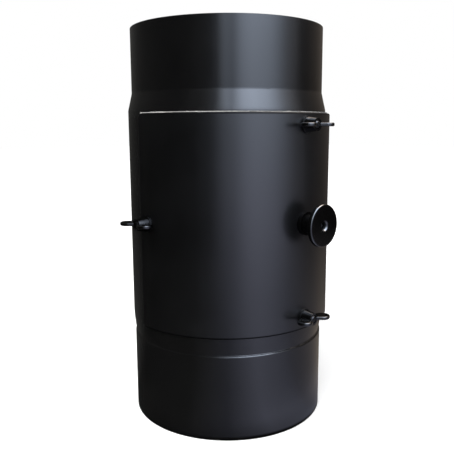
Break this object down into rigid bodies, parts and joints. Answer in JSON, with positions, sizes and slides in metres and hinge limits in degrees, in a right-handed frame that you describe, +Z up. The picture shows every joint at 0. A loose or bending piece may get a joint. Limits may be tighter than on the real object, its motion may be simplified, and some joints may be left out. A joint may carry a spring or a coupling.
{
  "type": "stove pipe particulate filter",
  "caption": "Satin black stove pipe section with a spigot end, a socket end and a curved inspection door held by wing nuts, closing over a ceramic honeycomb filter.",
  "frame": {"origin": "centre of the lower rim, on the pipe's axis", "axes": "+Z up along the pipe towards the spigot, -Y out through the door and its knob, +X to the right of someone facing the door"},
  "size_m": [0.191, 0.1748, 0.3],
  "materials": {
    "body_paint": "satin black heatproof paint",
    "door_paint": "satin black heatproof paint",
    "fixing_black": "satin black over cast steel",
    "knob_black": "smooth satin black",
    "stud_steel": "dark threaded steel",
    "screw_steel": "plain steel",
    "plated_steel": "zinc plated",
    "inner_steel": "bare steel, dull",
    "can_steel": "stainless sheet, rolled finish",
    "gasket_fibre": "pressed ceramic fibre",
    "mat_fibre": "expanding fibre mat",
    "honeycomb_ceramic": "unglazed cordierite"
  },
  "bodies": {
    "pipe": {"pipe_body": "body_paint", "lower_sleeve": "body_paint", "stud_top": "stud_steel", "stud_bottom": "stud_steel", "stud_left": "stud_steel", "stud_right": "stud_steel", "filter_support_ring": "inner_steel", "filter_can": "can_steel", "filter_mat": "mat_fibre", "filter_spacer_ring": "can_steel", "filter_block_lower": "honeycomb_ceramic", "filter_block_upper": "honeycomb_ceramic"},
    "inspection_door": {"door": "door_paint", "door_gasket": "gasket_fibre", "knob": "knob_black", "knob_stud": "screw_steel", "knob_washer": "plated_steel", "knob_nut": "plated_steel"},
    "top_washer": {"washer_top": "fixing_black"},
    "top_nut": {"wing_nut_top": "fixing_black"},
    "bottom_washer": {"washer_bottom": "fixing_black"},
    "bottom_nut": {"wing_nut_bottom": "fixing_black"},
    "left_washer": {"washer_left": "fixing_black"},
    "left_nut": {"wing_nut_left": "fixing_black"},
    "right_washer": {"washer_right": "fixing_black"},
    "right_nut": {"wing_nut_right": "fixing_black"}
  },
  "joints": [
    {"name": "door_pull", "type": "slide", "parent": "pipe", "child": "inspection_door", "axis": [0, -1, 0], "range_m": [0, 0.12]},
    {"name": "top_washer_slide", "type": "slide", "parent": "inspection_door", "child": "top_washer", "axis": [0, -1, 0], "range_m": [0, 0.0101]},
    {"name": "top_nut_turn", "type": "hinge", "parent": "top_washer", "child": "top_nut", "pos_m": [0, -0.0805, 0.228], "axis": [0, -1, 0], "range_deg": [0, 3600]},
    {"name": "bottom_washer_slide", "type": "slide", "parent": "inspection_door", "child": "bottom_washer", "axis": [0, -1, 0], "range_m": [0, 0.0101]},
    {"name": "bottom_nut_turn", "type": "hinge", "parent": "bottom_washer", "child": "bottom_nut", "pos_m": [0, -0.0805, 0.0885], "axis": [0, -1, 0], "range_deg": [0, 3600]},
    {"name": "left_washer_slide", "type": "slide", "parent": "pipe", "child": "left_washer", "axis": [-1, 0, 0], "range_m": [0, 0.0101]},
    {"name": "left_nut_turn", "type": "hinge", "parent": "left_washer", "child": "left_nut", "pos_m": [-0.0805, 0, 0.1582], "axis": [-1, 0, 0], "range_deg": [0, 3600]},
    {"name": "right_washer_slide", "type": "slide", "parent": "pipe", "child": "right_washer", "axis": [1, 0, 0], "range_m": [0, 0.0101]},
    {"name": "right_nut_turn", "type": "hinge", "parent": "right_washer", "child": "right_nut", "pos_m": [0.0805, 0, 0.1582], "axis": [1, 0, 0], "range_deg": [0, 3600]}
  ],
  "couplings": [
    {"joint": "top_washer_slide", "follows": "top_nut_turn", "m_per_rad": 0.00015915},
    {"joint": "bottom_washer_slide", "follows": "bottom_nut_turn", "m_per_rad": 0.00015915},
    {"joint": "left_washer_slide", "follows": "left_nut_turn", "m_per_rad": 0.00015915},
    {"joint": "right_washer_slide", "follows": "right_nut_turn", "m_per_rad": 0.00015915}
  ]
}
